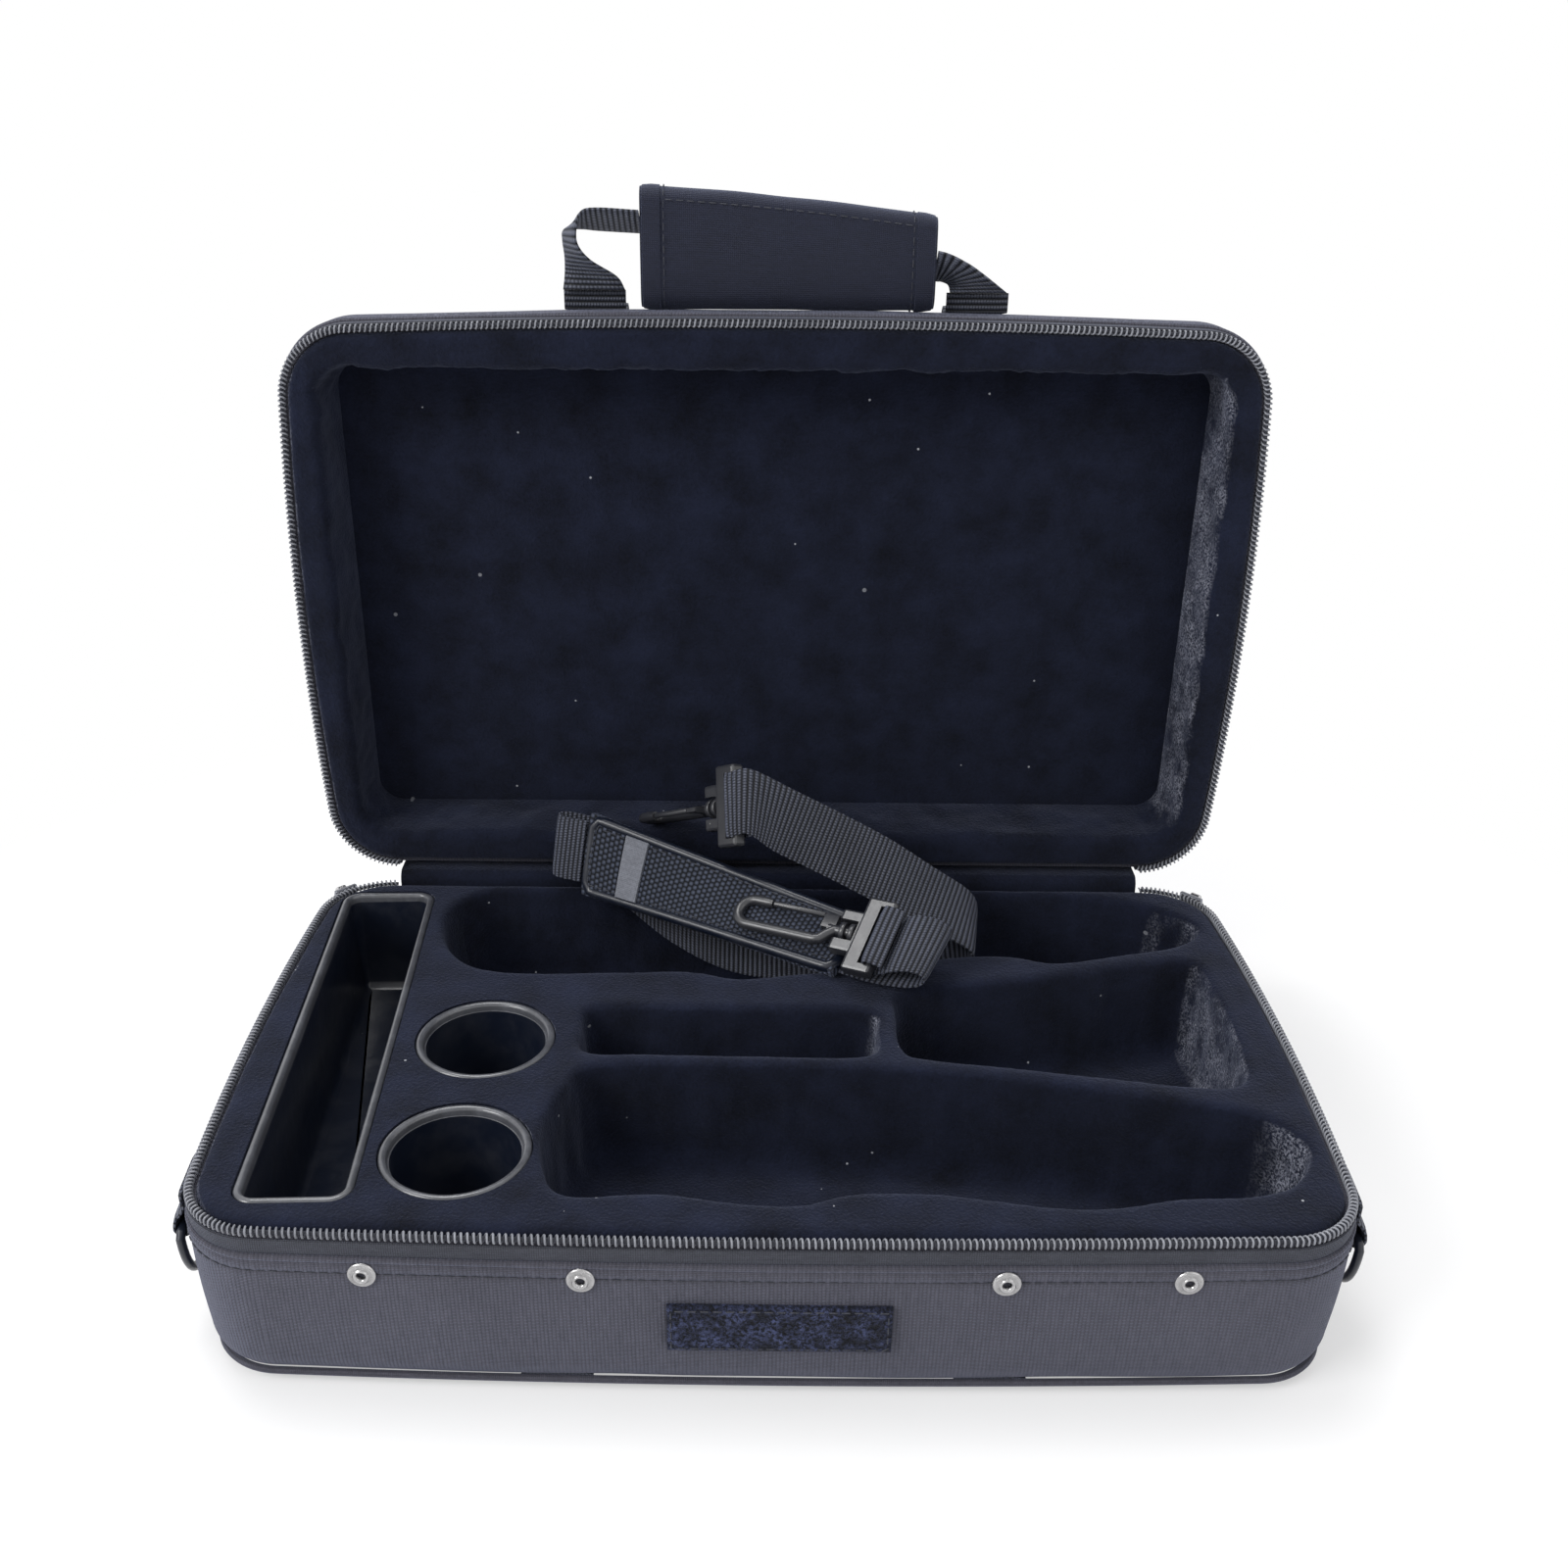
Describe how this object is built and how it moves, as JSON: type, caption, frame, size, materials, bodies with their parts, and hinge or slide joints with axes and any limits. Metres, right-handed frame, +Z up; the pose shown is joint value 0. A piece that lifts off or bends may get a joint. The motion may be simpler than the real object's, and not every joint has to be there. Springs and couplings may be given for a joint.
{
  "type": "clarinet case",
  "caption": "Zip-closed clarinet case, open: cloth-covered base and lid on a cloth hinge, foam insert with shaped pockets, tray and cups, carrying handle, shoulder strap with snap hooks.",
  "frame": {"origin": "bottom centre of the open case's bounding box, on the surface that it stands on", "axes": "+X to the right along the case's length, +Y from the front wall to the back, +Z up"},
  "size_m": [0.3818, 0.269, 0.3317],
  "materials": {
    "outer_cloth": "woven, dark grey",
    "plush": "short dark plush",
    "webbing": "ribbed webbing",
    "zip_tape": "woven tape",
    "zip_coil": "satin",
    "trim": "smooth, dark",
    "black_plastic": "gloss",
    "nickel": "bright nickel",
    "dark_metal": "gunmetal"
  },
  "bodies": {
    "base": {"accessory_tray": "black_plastic", "base_insert": "plush", "base_piping": "trim", "base_shell": "outer_cloth", "base_strap_left": "webbing", "base_strap_right": "webbing", "base_zipper_tape": "zip_tape", "base_zipper_teeth": "zip_coil", "cup_front": "black_plastic", "cup_rear": "black_plastic", "front_rivet_1": "nickel", "front_rivet_2": "nickel", "front_rivet_3": "nickel", "front_rivet_4": "nickel", "hinge_cloth_base": "outer_cloth", "hook_loop_patch": "plush", "ring_tab_left": "webbing", "ring_tab_right": "webbing", "shoulder_pad": "trim", "strap_eye_lower": "black_plastic", "strap_eye_upper": "black_plastic", "strap_webbing_lower": "webbing", "strap_webbing_upper": "webbing"},
    "lid": {"hinge_cloth_lid": "outer_cloth", "lid_border": "plush", "lid_panel": "plush", "lid_piping": "trim", "lid_shell": "outer_cloth", "lid_strap_left": "webbing", "lid_strap_right": "webbing", "lid_zipper_tape": "zip_tape", "lid_zipper_teeth": "zip_coil"},
    "handle": {"handle_grip": "outer_cloth", "handle_leg_left": "webbing", "handle_leg_right": "webbing"},
    "ring_left": {"side_ring_left": "black_plastic"},
    "ring_right": {"side_ring_right": "black_plastic"},
    "slider_left": {"zipper_slider_left": "dark_metal"},
    "slider_right": {"zipper_slider_right": "dark_metal"},
    "pull_left": {"zipper_pull_left": "nickel"},
    "pull_right": {"zipper_pull_right": "nickel"},
    "hook_upper": {"snap_hook_upper": "black_plastic"},
    "hook_lower": {"snap_hook_lower": "black_plastic"},
    "gate_upper": {"hook_gate_upper": "nickel"},
    "gate_lower": {"hook_gate_lower": "nickel"}
  },
  "joints": [
    {"name": "lid_hinge", "type": "hinge", "parent": "base", "child": "lid", "pos_m": [0, 0.09258, 0.0639], "axis": [1, 0, 0], "range_deg": [-90, 90], "deforming": ["hook_gate_lower", "hook_gate_upper", "shoulder_pad", "snap_hook_lower", "snap_hook_upper", "strap_eye_lower", "strap_eye_upper", "strap_webbing_lower", "strap_webbing_upper"]},
    {"name": "handle_fold", "type": "hinge", "parent": "lid", "child": "handle", "pos_m": [0, 0.11658, 0.29555], "axis": [1, 0, 0], "range_deg": [-60, 80]},
    {"name": "ring_swing_left", "type": "hinge", "parent": "base", "child": "ring_left", "pos_m": [-0.18687, -0.09165, 0.0404], "axis": [-0.0579, 0.9983, 0], "range_deg": [0, 150]},
    {"name": "ring_swing_right", "type": "hinge", "parent": "base", "child": "ring_right", "pos_m": [0.18687, -0.09165, 0.0404], "axis": [0.0579, 0.9983, 0], "range_deg": [-150, 0]},
    {"name": "slider_run_left", "type": "hinge", "parent": "base", "child": "slider_left", "pos_m": [-0.1538, 0.06188, 0.0639], "axis": [0, 0, 1], "range_deg": [0, 40]},
    {"name": "slider_run_right", "type": "hinge", "parent": "base", "child": "slider_right", "pos_m": [0.1538, 0.06188, 0.0639], "axis": [0, 0, 1], "range_deg": [-40, 0]},
    {"name": "pull_swing_left", "type": "hinge", "parent": "slider_left", "child": "pull_left", "pos_m": [-0.17721, 0.08528, 0.0599], "axis": [0.7071, 0.7071, 0], "range_deg": [0, 150]},
    {"name": "pull_swing_right", "type": "hinge", "parent": "slider_right", "child": "pull_right", "pos_m": [0.17721, 0.08528, 0.0599], "axis": [0.7071, -0.7071, 0], "range_deg": [0, 150]},
    {"name": "hook_swivel_upper", "type": "hinge", "parent": "base", "child": "hook_upper", "pos_m": [-0.0189, 0.06608, 0.1092], "axis": [-0.6124, 0.6612, -0.4333], "continuous": true},
    {"name": "hook_swivel_lower", "type": "hinge", "parent": "base", "child": "hook_lower", "pos_m": [0.0325, 0.01838, 0.0801], "axis": [-0.8806, 0.4706, -0.0552], "continuous": true},
    {"name": "gate_spring_upper", "type": "hinge", "parent": "hook_upper", "child": "gate_upper", "pos_m": [-0.0325, 0.07296, 0.10433], "axis": [0.0429, -0.5195, -0.8534], "range_deg": [0, 20], "stiffness_Nm_per_rad": 0.02},
    {"name": "gate_spring_lower", "type": "hinge", "parent": "hook_lower", "child": "gate_lower", "pos_m": [0.02147, 0.02981, 0.08201], "axis": [-0.2731, -0.4089, 0.8707], "range_deg": [0, 20], "stiffness_Nm_per_rad": 0.02}
  ]
}
